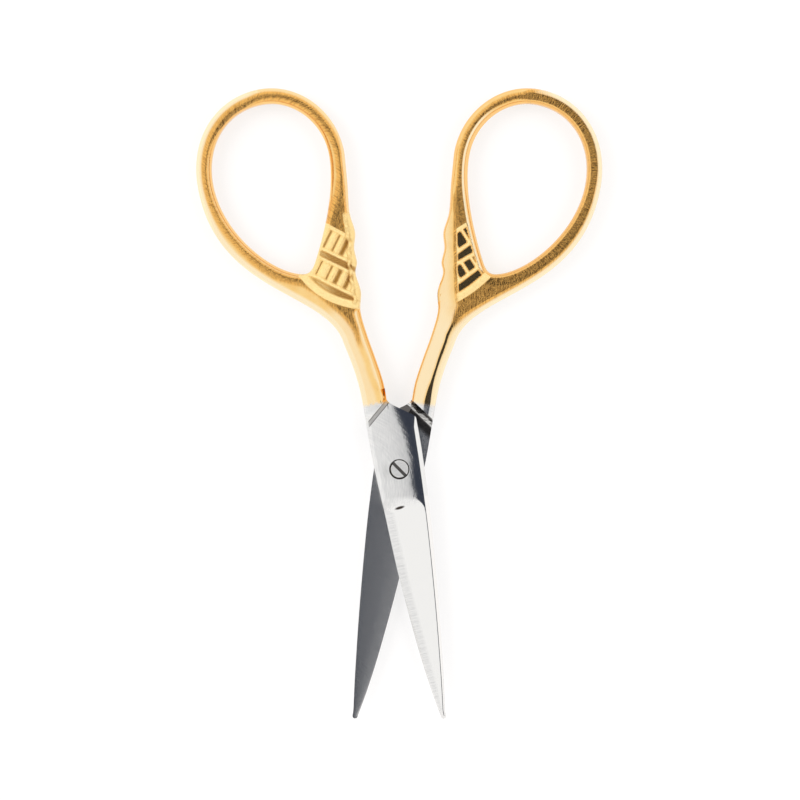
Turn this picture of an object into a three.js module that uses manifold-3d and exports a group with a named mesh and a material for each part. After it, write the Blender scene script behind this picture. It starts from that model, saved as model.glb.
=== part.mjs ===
// Embroidery scissors, 90 mm long when shut: two forged halves with relief-ornamented finger bows, crossed in
// a half-lap joint and held by one slotted pivot screw. Millimetres, +Z up, lying flat. The pivot's axis is Z
// and the origin is where that axis meets the flat underside. The bows point along +Y, the blades along -Y.
//
// Both halves are one form. It is made once in its own frame, shut: pivot at the origin, handle along +Y with
// its bow on the -X side, cutting edge on the -X side, and Z measured from the plane in which the halves
// slide. The rear half is that form turned half a turn about its long axis.
import * as THREE from "three";
import { mergeVertices } from "three/addons/utils/BufferGeometryUtils.js";
import Module from "manifold-3d";

const wasm = await Module();
wasm.setup();

// Angles, in degrees
const openAngle = 19.4; // between the halves as they lie
const lapSlant = 33.7; // the end of the shank's inner step, from square across
const stepSlant = 40.9; // the step between shank and joint plate on the outer face
const freeEdgeSlant = 35; // the joint plate's free top edge
const slotTurn = -45; // the screw's slot

// Finger bow
const openingWidth = 16.5;
const openingLength = 24.1;
const openingFoot = 28.8; // height of the opening's foot above the pivot
const rimWidth = 2.15;
const handleThickness = 3; // of the forged bow and shank
const bowGap = 0.2; // between the two bows when shut
const shoulderWidth = 0.62; // the rounded shoulders beside the flat land
const shoulderDepth = 0.95;

// Shank
const platingEnd = 9.45; // the gold plating ends this far above the pivot
const neckWidth = 3.35; // at the slimmest stretch above the joint
const neckRise = 3.75; // from the joint's crotch to the neck
const throatDrop = 6.4; // below the opening's foot, where the shank starts to widen into the ornament

// Ornament across the throat of the bow
const bandWidth = 0.42;
const collarWidth = 0.72; // the lowest, thicker band
const bandProud = 0.2;
const windowDepth = 0.38;
const outerPillarWidth = 0.78; // broad reeds on the outer face
const innerPillarWidth = 0.3; // thin ones on the face that carries the joint's flat
const bandOverrun = 1.2; // how far the bands run on over the inner shoulder on that face
const outerPillarLean = 36; // degrees from the shank's length, about square to the bands
const innerPillarLean = 42;
const windowMargin = 0.12; // from a window to the band beside it
const scallop = 0.45; // depth of the scallops on the inner side

// Joint
const plateThickness = 2.06;
const slideGap = 0.04; // between the two joint plates
const plateLeft = 3.45;
const plateRight = 3.5;
const freeEdgeReach = 7.63; // from the pivot to the plate's free edge
const freeEdgeCorner = 0.4;
const reliefWidth = 0.95; // the bevel under the free edge, which clears the other half's cove
const reliefDepth = 0.62;
const coveClearance = 0.55; // from the cove's head to the other plate's free edge when shut
const coveRun = 1.11; // from the cove's foot to its head
const stepReach = 7.44; // from the pivot to the step on the outer face
const stepWidth = 0.5;
const leftBevelWidth = 0.55;
const leftBevelDepth = 0.32;
const rollWidth = 1.2; // the rolled facet beside the back bevel
const rollDrop = 0.2;
const backBevelWidth = 0.58;
const backBevelDepth = 0.5;

// Blade
const bladeLength = 35.1; // from the pivot to the tip
const grindStart = 3.6; // below the pivot, where the ground face leaves the plate
const grindRun = 2.4;
const tipRadius = 0.3;
const tipThickness = 0.62;
const edgeThickness = 0.34; // behind the cutting bevel
const edgeLand = 0.06;
const cuttingBevel = 0.42;
const hollowDepth = 0.09; // of the hollow-ground inner face

// Pivot screw
const screwRadius = 1;
const screwHeadRadius = 1.26;
const screwHeadProud = 0.06;
const headBevel = 0.14;
const slotWidth = 0.42;
const slotDepth = 0.45;
const boreClearance = 0.05; // neck in the front half, which turns on it
const threadClearance = 0.02; // in the rear half, which the screw doesn't turn in
const counterboreClearance = 0.13;
const counterboreDepth = 0.95;
const headSeatGap = 0.03;

// Fineness of the faceted surfaces
const curveSteps = 14;
const shoulderSteps = 3;
const roundSteps = 48;
const coveSteps = 8;
const plungeSteps = 8;
const faceSteps = 6; // across the blade's outer face
const reach = 60; // past everything, for cutting tools

const base = slideGap / 2;
const plateTop = base + plateThickness;
const land = handleThickness / 2;
const bandFoot = land - 0.6 * shoulderDepth; // bands start under the land, on the shoulders
const innerSide = -bowGap / 2;
const lapHead = freeEdgeReach + coveClearance; // from the pivot to the head and the foot of the cove
const lapFoot = lapHead - coveRun;
const stepTurn = THREE.MathUtils.degToRad(stepSlant);
const stepAt = (x) => stepReach / Math.cos(stepTurn) + x * Math.tan(stepTurn); // the step's height
const crotchHeight = stepAt(innerSide); // where the shank's inner side meets the plate's free edge
const neckHeight = crotchHeight + neckRise;
const throatHeight = openingFoot - throatDrop;
const up = new THREE.Vector3(0, 0, 1);

const steel = new THREE.Color(0xc9cbce);
const gold = new THREE.Color(0xd9a441);

// Solids

function solid(geometry) {
  const bare = geometry.clone();
  bare.deleteAttribute("normal");
  bare.deleteAttribute("uv");
  const merged = mergeVertices(bare);
  return new wasm.Manifold(
    new wasm.Mesh({
      numProp: 3,
      vertProperties: new Float32Array(merged.attributes.position.array),
      triVerts: new Uint32Array(merged.index.array),
    }),
  );
}

function shapeOf(points) {
  return new THREE.Shape(points.map(([x, y]) => new THREE.Vector2(x, y)));
}

// A straight-sided solid over a shape, from one height to another.
function prism(shape, low, high) {
  const geometry = new THREE.ExtrudeGeometry(shape, {
    depth: high - low,
    bevelEnabled: false,
  });
  geometry.translate(0, 0, low);
  return solid(geometry);
}

// A bar across the joint. Its section is drawn as points [distance from the pivot, height], and it runs at a
// slant, in degrees, from square across. A side of -1 puts it on the shank's side and 1 on the other.
function crossBar(section, slant, side) {
  const geometry = new THREE.ExtrudeGeometry(shapeOf(section), {
    depth: 2 * reach,
    bevelEnabled: false,
  });
  geometry.translate(0, 0, -reach);
  const turn = THREE.MathUtils.degToRad(slant);
  const away = new THREE.Vector3(side * Math.sin(turn), Math.cos(turn), 0);
  const along = new THREE.Vector3().crossVectors(away, up);
  geometry.applyMatrix4(new THREE.Matrix4().makeBasis(away, up, along));
  return solid(geometry);
}

function disc(radius, low, high) {
  const geometry = new THREE.CylinderGeometry(radius, radius, high - low, roundSteps);
  geometry.rotateX(Math.PI / 2);
  geometry.translate(0, 0, (low + high) / 2);
  return solid(geometry);
}

// Outline of the handle

// The egg-shaped opening, as five curves from its crown over the outer side to its narrow foot and back.
function openingCurves() {
  const middle = innerSide - rimWidth - openingWidth / 2;
  const half = openingWidth / 2;
  const at = (x, y) => new THREE.Vector2(middle + x * half, openingFoot + y * openingLength);
  const curve = (...points) => new THREE.CubicBezierCurve(...points);
  const crown = at(0.05, 1);
  const outer = at(-1, 0.6);
  const foot = at(0.255, 0);
  const heel = at(0.455, 0.048);
  const inner = at(1, 0.645);
  return [
    curve(crown, at(-0.55, 1), at(-1, 0.835), outer),
    curve(outer, at(-1, 0.3), at(-0.225, 0.02), foot),
    curve(foot, at(0.352, -0.002), at(0.4, 0.017), heel),
    curve(heel, at(0.655, 0.178), at(1, 0.435), inner),
    curve(inner, at(1, 0.845), at(0.55, 1), crown),
  ];
}

// Points beside a curve of the opening, the rim's width outside it.
function beside(curve) {
  const points = [];
  for (let i = 0; i <= curveSteps; i++) {
    const t = i / curveSteps;
    const along = curve.getTangent(t);
    points.push(curve.getPoint(t).add(new THREE.Vector2(along.y, -along.x).multiplyScalar(rimWidth)));
  }
  return points;
}

function handleShape() {
  const curves = openingCurves();
  const rim = [
    ...beside(curves[4]),
    ...beside(curves[0]).slice(1),
  ];
  const v = (x, y) => new THREE.Vector2(x, y);
  const between = THREE.MathUtils.lerp;

  // Outer side: from the bow's widest point the rim broadens down into the shank
  const widest = rim.pop();
  const neck = v(-plateLeft, neckHeight);
  const shank = v(innerSide - neckWidth - 1.15, between(neckHeight, openingFoot, 0.31));
  const flank = new THREE.CubicBezierCurve(
    widest,
    widest.clone().add(v(0, -15.6)),
    shank.clone().add(v(-0.9, 7.9)),
    shank,
  );
  const waist = new THREE.CubicBezierCurve(
    shank,
    shank.clone().add(v(0.45, -2)),
    neck,
    v(-plateLeft, crotchHeight),
  );

  // Inner side: from the crotch up, with a scallop for each tier of the ornament, to the rim
  const inset = (x, y) => v(innerSide - x, y);
  const tier = (x, y) => inset(x, openingFoot + y);
  const inside = new THREE.SplineCurve([
    inset(0, crotchHeight),
    inset(0.05, between(crotchHeight, neckHeight, 0.66)),
    inset(0.55, between(neckHeight, throatHeight, 0.24)),
    inset(1.15, between(neckHeight, throatHeight, 0.62)),
    inset(1.05 + scallop, throatHeight),
    tier(1, -3.7),
    tier(0.85 + scallop, -1.1),
    tier(0.85, 0.4),
    tier(0.45 + scallop, 2.4),
    tier(0.4, 4.6),
    tier(0.25 + scallop, 7.4),
    tier(0.32, 11.2),
    rim[0],
  ]);

  const shape = new THREE.Shape([
    ...rim,
    ...flank.getPoints(2 * curveSteps),
    ...waist.getPoints(curveSteps / 2).slice(1),
    v(-plateLeft, lapFoot - 1.4),
    v(innerSide, lapFoot - 0.4),
    ...inside.getPoints(4 * curveSteps).slice(0, -1),
  ]);
  const opening = curves.flatMap((curve, i) => curve.getPoints(i === 2 ? 4 : curveSteps).slice(1));
  shape.holes.push(new THREE.Path(opening));
  return shape;
}

// The handle's blank: a flat land with rounded shoulders on both faces, along every edge. It stands proud of
// its own land by the height given.
function handleBlank(proud) {
  const wall = handleThickness - 2 * shoulderDepth;
  const geometry = new THREE.ExtrudeGeometry(handleShape(), {
    depth: wall,
    bevelThickness: shoulderDepth,
    bevelSize: shoulderWidth,
    bevelOffset: -shoulderWidth,
    bevelSegments: shoulderSteps,
    curveSegments: 1,
  });
  geometry.translate(0, 0, -wall / 2);
  geometry.scale(1, 1, (land + proud) / land);
  return solid(geometry);
}

// Ornament

// The two faces of a half. Bands and collar run from the opening's side to the inner side, as places from the
// inner side and above the opening's foot. Pillars stand at shares of the way along the two tiers.
const outerFace = {
  low: 0,
  high: reach,
  bands: [
    [[-3.75, 5.7], [-1.2, 3.7]],
    [[-5.15, 3], [-1.75, 0.6]],
    [[-5.65, 1.7], [-1.8, -1.05]],
    [[-6.7, -0.65], [-1.75, -4.25]],
  ],
  overrun: 0,
  collar: [[-8.5, -0.1], [-6.6, -3.9], [-1.8, -5.5]],
  pillarWidth: outerPillarWidth,
  pillarLean: outerPillarLean,
  upper: [0.25, 0.6],
  lower: [0.14, 0.4, 0.69],
};
const innerFace = {
  low: -reach,
  high: 0,
  bands: [
    [[-3.6, 6.25], [-1.2, 4.05]],
    [[-4.6, 4], [-1.85, 1.2]],
    [[-5.3, 2.45], [-1.75, -0.5]],
    [[-6.1, 0.65], [-1.6, -4.1]],
  ],
  overrun: bandOverrun,
  collar: [[-7.4, -0.3], [-4.85, -3.75], [-1.8, -5.4]],
  pillarWidth: innerPillarWidth,
  pillarLean: innerPillarLean,
  upper: [0.24],
  lower: [0.11, 0.37, 0.65],
};

const bandPoint = ([x, y]) => new THREE.Vector2(innerSide + x, openingFoot + y);

// A strip of even width beside a line of points.
function strip(points, width) {
  const left = [];
  const right = [];
  points.forEach((point, i) => {
    const before = points[Math.max(i - 1, 0)];
    const after = points[Math.min(i + 1, points.length - 1)];
    const across = after.clone().sub(before).normalize();
    const side = new THREE.Vector2(-across.y, across.x).multiplyScalar(width / 2);
    left.push(point.clone().add(side));
    right.unshift(point.clone().sub(side));
  });
  return new THREE.Shape([...left, ...right].reverse());
}

function bandShapes(face) {
  const shapes = face.bands.map((band) => {
    const [start, end] = band.map(bandPoint);
    const past = end.clone().sub(start).setLength(face.overrun);
    return strip([start, end.add(past)], bandWidth);
  });
  const collar = new THREE.QuadraticBezierCurve(...face.collar.map(bandPoint));
  shapes.push(strip(collar.getPoints(8), collarWidth));
  return shapes;
}

// The windows between two bands on one face: the field between them, less the pillars that lean across it.
function windows(face, upper, lower, pillars) {
  const inward = new THREE.Vector2(1, 1).setLength(bandWidth / 2 + windowMargin);
  const [a, b] = face.bands[lower].map((place) => bandPoint(place).add(inward));
  const [d, c] = face.bands[upper].map((place) => bandPoint(place).sub(inward));
  let field = prism(new THREE.Shape([a, b, c, d]), face.low, face.high);
  const lean = THREE.MathUtils.degToRad(face.pillarLean);
  const along = new THREE.Vector2(Math.sin(lean), Math.cos(lean)).multiplyScalar(openingLength);
  const left = a.clone().lerp(d, 0.5);
  const right = b.clone().lerp(c, 0.5);
  for (const share of pillars) {
    const middle = left.clone().lerp(right, share);
    const pillar = strip([middle.clone().sub(along), middle.clone().add(along)], face.pillarWidth);
    field = field.subtract(prism(pillar, -2 * reach, 2 * reach));
  }
  return field.subtract(disc(2 * reach, windowDepth - land, land - windowDepth));
}

function ornamented(blank) {
  const tall = handleBlank(bandProud);
  const core = disc(2 * reach, -bandFoot, bandFoot);
  let made = blank;
  for (const face of [outerFace, innerFace]) {
    for (const shape of bandShapes(face)) {
      made = made.add(prism(shape, face.low, face.high).intersect(tall).subtract(core));
    }
    made = made.subtract(windows(face, 0, 1, face.upper)).subtract(windows(face, 2, 3, face.lower));
  }
  return made;
}

// Joint

// What is cut from the shank's inner half so that the other half's plate can pass: flat to the cove's foot,
// then the hollow cove up to its head.
function lapCut() {
  const section = [[-reach, base]];
  for (let i = 0; i <= coveSteps; i++) {
    const turn = (Math.PI / 2) * (i / coveSteps);
    section.push([
      lapFoot + (lapHead - lapFoot) * Math.sin(turn),
      -land + (land + base) * Math.cos(turn),
    ]);
  }
  section.push([lapHead, -reach], [-reach, -reach]);
  return crossBar(section.reverse(), lapSlant, -1);
}

// The plate's plan: everything under the step on the shank's side and under the free edge on the other.
function platePlan() {
  const free = THREE.MathUtils.degToRad(freeEdgeSlant);
  const freeAt = (x) => freeEdgeReach / Math.cos(free) - x * Math.tan(free);
  const corner = plateRight - freeEdgeCorner;
  const shape = new THREE.Shape();
  shape.moveTo(-reach, -reach);
  shape.lineTo(reach, -reach);
  shape.lineTo(reach, freeAt(plateRight) - freeEdgeCorner);
  shape.lineTo(plateRight, freeAt(plateRight) - freeEdgeCorner);
  shape.quadraticCurveTo(plateRight, freeAt(plateRight), corner, freeAt(corner));
  shape.lineTo(innerSide + 1, freeAt(innerSide + 1));
  shape.quadraticCurveTo(innerSide + 0.2, freeAt(innerSide + 0.2), innerSide, crotchHeight);
  shape.lineTo(innerSide - 0.2, stepAt(innerSide - 0.2));
  shape.lineTo(-reach, stepAt(-reach));
  return shape;
}

// A function that gives a curve's X at a height.
function acrossAt(points) {
  const line = new THREE.SplineCurve(points.map(([x, y]) => new THREE.Vector2(x, y))).getPoints(80);
  return (y) => {
    const i = line.findIndex((point) => point.y <= y);
    if (i < 1) return line[i < 0 ? line.length - 1 : 0].x;
    const above = line[i - 1];
    return THREE.MathUtils.mapLinear(y, above.y, line[i].y, above.x, line[i].x);
  };
}

// Plate and blade in one: sections square to the length, from above the joint down to the tip.
function plateAndBlade() {
  const tip = -bladeLength;
  const down = (share) => tip * share;
  const edgeAt = acrossAt([
    [-plateLeft, 3],
    [-plateLeft + 0.08, 0.5],
    [-0.885 * plateLeft, down(0.142)],
    [-0.725 * plateLeft, down(0.44)],
    [-0.45 * plateLeft, down(0.72)],
    [-0.22 * plateLeft, down(0.883)],
    [-0.03 * plateLeft, down(0.986)],
  ]);
  const backAt = acrossAt([
    [plateRight, 6],
    [plateRight, 1],
    [0.9 * plateRight, down(0.22)],
    [0.65 * plateRight, down(0.54)],
    [0.37 * plateRight, down(0.815)],
    [0.18 * plateRight, down(0.969)],
  ]);
  const { lerp, smoothstep } = THREE.MathUtils;

  const section = (y) => {
    const ground = smoothstep(-y, grindStart, grindStart + grindRun);
    const along = THREE.MathUtils.clamp((-y - grindStart) / (bladeLength - grindStart), 0, 1);
    const spine = lerp(plateThickness, tipThickness, along);
    const narrow = lerp(1, 0.4, along);
    let edge = edgeAt(y);
    let back = backAt(y);
    const tipCentre = tip + tipRadius;
    if (y < tipCentre) {
      const round = Math.sqrt(Math.max(0, 1 - ((tipCentre - y) / tipRadius) ** 2));
      const middle = (edgeAt(tipCentre) + backAt(tipCentre)) / 2;
      edge = middle + (edgeAt(tipCentre) - middle) * round;
      back = middle + (backAt(tipCentre) - middle) * round;
    }
    const width = back - edge;
    const bevelHere = Math.min(lerp(leftBevelWidth, cuttingBevel, ground) * narrow, 0.3 * width);
    const backHere = Math.min(backBevelWidth * narrow, 0.3 * width);
    const rollHere = Math.min(lerp(rollWidth, 0.08, ground), 0.3 * width);
    const rolled = spine - lerp(rollDrop, 0.02, ground);
    const faceFoot = lerp(plateThickness, Math.min(edgeThickness, 0.8 * spine), ground);
    const face = [];
    for (let i = 0; i <= faceSteps; i++) {
      const share = i / faceSteps;
      face.push([lerp(edge + bevelHere, back - backHere - rollHere, share), lerp(faceFoot, spine, share)]);
    }
    return [
      [edge, 0],
      [edge, lerp(plateThickness - leftBevelDepth, edgeLand, ground)],
      ...face,
      [back - backHere, rolled],
      [back, rolled - lerp(backBevelDepth, 0.45 * spine, ground)],
      [back, 0],
      [edge + 0.55 * width, hollowDepth * ground * narrow],
    ].map(([x, z]) => new THREE.Vector3(x, y, base + z));
  };

  const heights = [crotchHeight + 1, grindStart, 0];
  for (let i = 0; i <= plungeSteps; i++) heights.push(-grindStart - (grindRun * i) / plungeSteps);
  const from = -grindStart - grindRun;
  const to = tip + tipRadius;
  for (let i = 1; i <= 14; i++) heights.push(lerp(from, to, i / 14));
  for (const share of [0.4, 0.7, 0.9, 0.99]) heights.push(to - tipRadius * share);
  return loft(heights.map(section));
}

// Joins closed sections of equally many points into one solid with flat ends.
function loft(sections) {
  const across = sections[0].length;
  const last = (sections.length - 1) * across;
  const faces = [];
  for (let i = 0; i < last; i += across) {
    for (let j = 0; j < across; j++) {
      const a = i + j;
      const b = i + ((j + 1) % across);
      faces.push([a, a + across, b], [b, a + across, b + across]);
    }
  }
  const outline = sections[0].map((point) => new THREE.Vector2(point.x, point.z));
  for (const [a, b, c] of THREE.ShapeUtils.triangulateShape(outline, [])) {
    faces.push([a, c, b], [last + a, last + b, last + c]);
  }
  const geometry = new THREE.BufferGeometry();
  const place = sections.flat().flatMap((point) => point.toArray());
  geometry.setAttribute("position", new THREE.Float32BufferAttribute(place, 3));
  geometry.setIndex(faces.flat());
  return solid(geometry);
}

// The forging

function forging() {
  const handle = ornamented(handleBlank(0)).subtract(lapCut());
  const stepBevel = [
    [stepReach - stepWidth, plateTop],
    [stepReach + stepWidth, 2 * land - plateTop],
    [stepReach + stepWidth, reach],
    [stepReach - stepWidth, reach],
  ];
  const slope = reliefDepth / reliefWidth;
  const relief = [
    [freeEdgeReach - reliefWidth, base - reach],
    [freeEdgeReach + reach, base - reach],
    [freeEdgeReach + reach, base + (reliefWidth + reach) * slope],
    [freeEdgeReach - reliefWidth, base],
  ];
  const plate = plateAndBlade()
    .intersect(prism(platePlan(), -reach, reach))
    .subtract(crossBar(stepBevel, stepSlant, -1))
    .subtract(crossBar(relief, freeEdgeSlant, 1));
  return handle.add(plate);
}

const bothHalves = forging();

function frontHalf() {
  const bore = disc(screwRadius + boreClearance, -reach, reach);
  const seat = disc(screwHeadRadius + counterboreClearance, plateTop - counterboreDepth, reach);
  return bothHalves.subtract(bore).subtract(seat);
}

function rearHalf() {
  return bothHalves.subtract(disc(screwRadius + threadClearance, -reach, reach));
}

// The screw: head up in the front half, its end flush with the rear half's outer face.
function pivotScrew() {
  const headTop = plateTop + screwHeadProud;
  const headFoot = plateTop - counterboreDepth + headSeatGap;
  const profile = [
    [0, -plateTop],
    [screwRadius, -plateTop],
    [screwRadius, headFoot],
    [screwHeadRadius, headFoot],
    [screwHeadRadius, headTop - headBevel],
    [screwHeadRadius - headBevel, headTop],
    [0, headTop],
  ].map(([r, z]) => new THREE.Vector2(r, z));
  const body = new THREE.LatheGeometry(profile, roundSteps);
  body.rotateX(Math.PI / 2);
  const slot = new THREE.BoxGeometry(3 * screwHeadRadius, slotWidth, 2 * slotDepth);
  slot.rotateZ(THREE.MathUtils.degToRad(slotTurn));
  slot.translate(0, 0, headTop);
  return solid(body).subtract(solid(slot));
}

// The scene

// The part of a triangle above (side 1) or below (side -1) a height, as a polygon.
function clipped(corners, height, side) {
  const polygon = [];
  corners.forEach((here, j) => {
    const next = corners[(j + 1) % 3];
    if (side * (here.y - height) >= 0) polygon.push(here);
    if ((here.y - height) * (next.y - height) < 0) {
      const [low, high] = here.y < next.y ? [here, next] : [next, here];
      polygon.push(low.clone().lerp(high, (height - low.y) / (high.y - low.y)));
    }
  });
  return polygon;
}

// The faces of a half, divided where the plating ends, coloured gold above that line and steel below.
function plated(made) {
  const { vertProperties, triVerts } = made.getMesh();
  const corner = (i) => new THREE.Vector3().fromArray(vertProperties, 3 * triVerts[i]);
  const place = [];
  const colors = [];
  for (let t = 0; t < triVerts.length; t += 3) {
    for (const [side, tint] of [[1, gold], [-1, steel]]) {
      const polygon = clipped([corner(t), corner(t + 1), corner(t + 2)], platingEnd, side);
      for (let k = 1; k + 1 < polygon.length; k++) {
        for (const point of [polygon[0], polygon[k], polygon[k + 1]]) {
          place.push(...point.toArray());
          colors.push(...tint.toArray());
        }
      }
    }
  }
  const geometry = new THREE.BufferGeometry();
  geometry.setAttribute("position", new THREE.Float32BufferAttribute(place, 3));
  geometry.setAttribute("color", new THREE.Float32BufferAttribute(colors, 3));
  return geometry;
}

function bare(made) {
  const { vertProperties, triVerts } = made.getMesh();
  const geometry = new THREE.BufferGeometry();
  geometry.setAttribute("position", new THREE.BufferAttribute(vertProperties, 3));
  geometry.setIndex(new THREE.BufferAttribute(triVerts, 1));
  return geometry;
}

function meshOf(geometry, name, look) {
  geometry.computeVertexNormals();
  const material = new THREE.MeshStandardMaterial({ metalness: 1, flatShading: true, ...look });
  const mesh = new THREE.Mesh(geometry, material);
  mesh.name = name;
  return mesh;
}

const halfOpening = THREE.MathUtils.degToRad(openAngle / 2);

const front = new THREE.Group();
front.rotation.z = halfOpening;
front.add(meshOf(plated(frontHalf()), "front_half", { vertexColors: true, roughness: 0.25 }));

const rear = new THREE.Group();
rear.rotation.set(0, Math.PI, -halfOpening, "ZYX"); // turned about its length first, then opened
rear.add(meshOf(plated(rearHalf()), "rear_half", { vertexColors: true, roughness: 0.25 }));

const scissors = new THREE.Group();
scissors.position.z = plateTop;
scissors.add(rear, front, meshOf(bare(pivotScrew()), "pivot_screw", { color: steel, roughness: 0.35 }));

export default scissors;
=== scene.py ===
import math
from functools import reduce
from types import SimpleNamespace

import bpy
import numpy as np
from mathutils import Matrix, Vector, geometry, kdtree


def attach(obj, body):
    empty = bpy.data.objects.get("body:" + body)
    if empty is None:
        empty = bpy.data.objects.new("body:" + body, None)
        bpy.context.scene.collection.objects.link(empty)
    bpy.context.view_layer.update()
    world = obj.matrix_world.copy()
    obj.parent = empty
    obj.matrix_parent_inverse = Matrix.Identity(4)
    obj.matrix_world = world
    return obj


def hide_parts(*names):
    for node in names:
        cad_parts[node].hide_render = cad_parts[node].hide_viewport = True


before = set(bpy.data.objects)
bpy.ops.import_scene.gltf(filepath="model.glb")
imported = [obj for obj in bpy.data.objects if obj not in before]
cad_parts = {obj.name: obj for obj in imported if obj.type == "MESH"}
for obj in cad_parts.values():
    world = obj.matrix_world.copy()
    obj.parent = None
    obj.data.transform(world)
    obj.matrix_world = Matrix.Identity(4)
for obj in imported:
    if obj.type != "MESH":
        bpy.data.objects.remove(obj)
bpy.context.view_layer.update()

MM = 0.001

# Angles
OPEN_ANGLE = math.radians(19.4)
LAP_SLANT = math.radians(33.7)
STEP_SLANT = math.radians(40.9)
FREE_EDGE_SLANT = math.radians(35)
SLOT_TURN = math.radians(-45)

# Finger bow and shank
OPENING_WIDTH = 16.5
OPENING_LENGTH = 24.1
OPENING_FOOT = 28.8
RIM_WIDTH = 2.15
LAND = 1.5
CREST_GAP = 0.68  # from the opening to the outer face's crest
OUTER_CREASE = 0.76  # from the opening to the chamfer's edge, on the outer face
INNER_CREASE = 0.82  # the same on the inner face
EDGE_HEIGHT = 0.55
BRUSH_SKEW = 0.6  # how far the outer face's polish marks lean
BOW_GAP = 0.2
PLATING_END = 9.45
NECK_WIDTH = 3.35
NECK_RISE = 3.75
THROAT_DROP = 6.4
SCALLOP = 0.45

# Joint plate
BASE = 0.02
PLATE_THICKNESS = 2.06
PLATE_LEFT = 3.45
PLATE_RIGHT = 3.5
FREE_EDGE_REACH = 7.63
FREE_EDGE_CORNER = 0.4
RELIEF_WIDTH = 0.95
RELIEF_SLOPE = 0.62 / 0.95
COVE_HEAD = FREE_EDGE_REACH + 0.55
COVE_RUN = 1.11
STEP_REACH = 7.44
STEP_WIDTH = 0.5
LEFT_BEVEL = (0.55, 0.32)
ROLL = (1.3, 0.13)
BACK_BEVEL = (0.58, 0.5)

# Blade
BLADE_LENGTH = 35.1
GRIND_START = 3.6
GRIND_RUN = 2.4
TIP_RADIUS = 0.3
TIP_THICKNESS = 0.62
EDGE_THICKNESS = 0.34
EDGE_LAND = 0.06
CUTTING_BEVEL = 0.42
HOLLOW_DEPTH = 0.06

# Pivot screw and its seat
SCREW_RADIUS = 1.0
SCREW_HEAD_RADIUS = 1.26
SCREW_HEAD_PROUD = 0.06
SCREW_HEAD_BEVEL = 0.14
SLOT_WIDTH = 0.42
SLOT_DEPTH = 0.45
BORE_RADIUS = 1.05
TAPPED_RADIUS = 1.02
SEAT_RADIUS = 1.39
SEAT_DEPTH = 0.95
HEAD_SEAT_GAP = 0.03

PLATE_TOP = BASE + PLATE_THICKNESS
INNER_SIDE = -BOW_GAP / 2
CROTCH = STEP_REACH / math.cos(STEP_SLANT) + INNER_SIDE * math.tan(STEP_SLANT)
NECK_HEIGHT = CROTCH + NECK_RISE
THROAT_HEIGHT = OPENING_FOOT - THROAT_DROP
TINY = 0.006  # half the width of a wall that stands inside a relief


# Curves


def mix(a, b, share):
    return a + (b - a) * share


def smooth(value, start, end):
    share = np.clip((value - start) / (end - start), 0, 1)
    return share * share * (3 - 2 * share)


def within(distance, full, none):
    """1 up to one distance, fading to 0 at another."""
    return 1 - smooth(distance, full, none)


def most(*sizes):
    """The greatest of several sizes, point by point."""
    return reduce(np.maximum, sizes)


def stations(value, *pairs):
    """Straight lines between a few chosen (place, size) pairs."""
    places, sizes = zip(*pairs)
    return np.interp(value, places, sizes)


def bezier(points, steps):
    t = np.linspace(0, 1, steps + 1)[:, None]
    a, b, c, d = np.array(points, float)
    return (1 - t) ** 3 * a + 3 * (1 - t) ** 2 * t * b + 3 * (1 - t) * t * t * c + t**3 * d


def spline(points, steps):
    """A smooth curve through points, with a number of steps from each to the next."""
    points = np.array(points, float)
    last = len(points) - 1
    line = []
    for i in range(last):
        before, here, there, after = points[[max(i - 1, 0), i, i + 1, min(i + 2, last)]]
        leave = (there - before) / 2
        arrive = (after - here) / 2
        for t in np.linspace(0, 1, steps, endpoint=False):
            cube = (2 * here - 2 * there + leave + arrive) * t**3
            square = (3 * there - 3 * here - 2 * leave - arrive) * t * t
            line.append(cube + square + leave * t + here)
    line.append(points[-1])
    return np.array(line)


def headings(line):
    """The direction of a line at each of its points."""
    along = np.gradient(line, axis=0)
    return along / np.linalg.norm(along, axis=1)[:, None]


def beside(line, distance):
    """A line moved to its right-hand side."""
    along = headings(line)
    return line + np.stack([along[:, 1], -along[:, 0]], 1) * np.reshape(distance, (-1, 1))


def evenly(line, spacing):
    """The same line with its points an even distance apart."""
    steps = np.linalg.norm(np.diff(line, axis=0), axis=1)
    line = line[np.concatenate([[True], steps > 1e-6])]
    run = np.concatenate([[0], np.cumsum(np.linalg.norm(np.diff(line, axis=0), axis=1))])
    places = np.linspace(0, run[-1], max(2, round(run[-1] / spacing) + 1))
    return np.stack([np.interp(places, run, line[:, k]) for k in (0, 1)], 1)


# Outline of the form


def opening_curves():
    """The egg-shaped opening, from its crown over the outer side to its narrow foot and back."""
    middle = INNER_SIDE - RIM_WIDTH - OPENING_WIDTH / 2

    def at(x, y):
        return (middle + x * OPENING_WIDTH / 2, OPENING_FOOT + y * OPENING_LENGTH)

    crown = at(0.05, 1)
    outer = at(-1, 0.6)
    foot = at(0.255, 0)
    heel = at(0.455, 0.048)
    inner = at(1, 0.645)
    return [
        (crown, at(-0.55, 1), at(-1, 0.835), outer),
        (outer, at(-1, 0.3), at(-0.225, 0.02), foot),
        (foot, at(0.352, -0.002), at(0.4, 0.017), heel),
        (heel, at(0.655, 0.178), at(1, 0.435), inner),
        (inner, at(1, 0.845), at(0.55, 1), crown),
    ]


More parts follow.
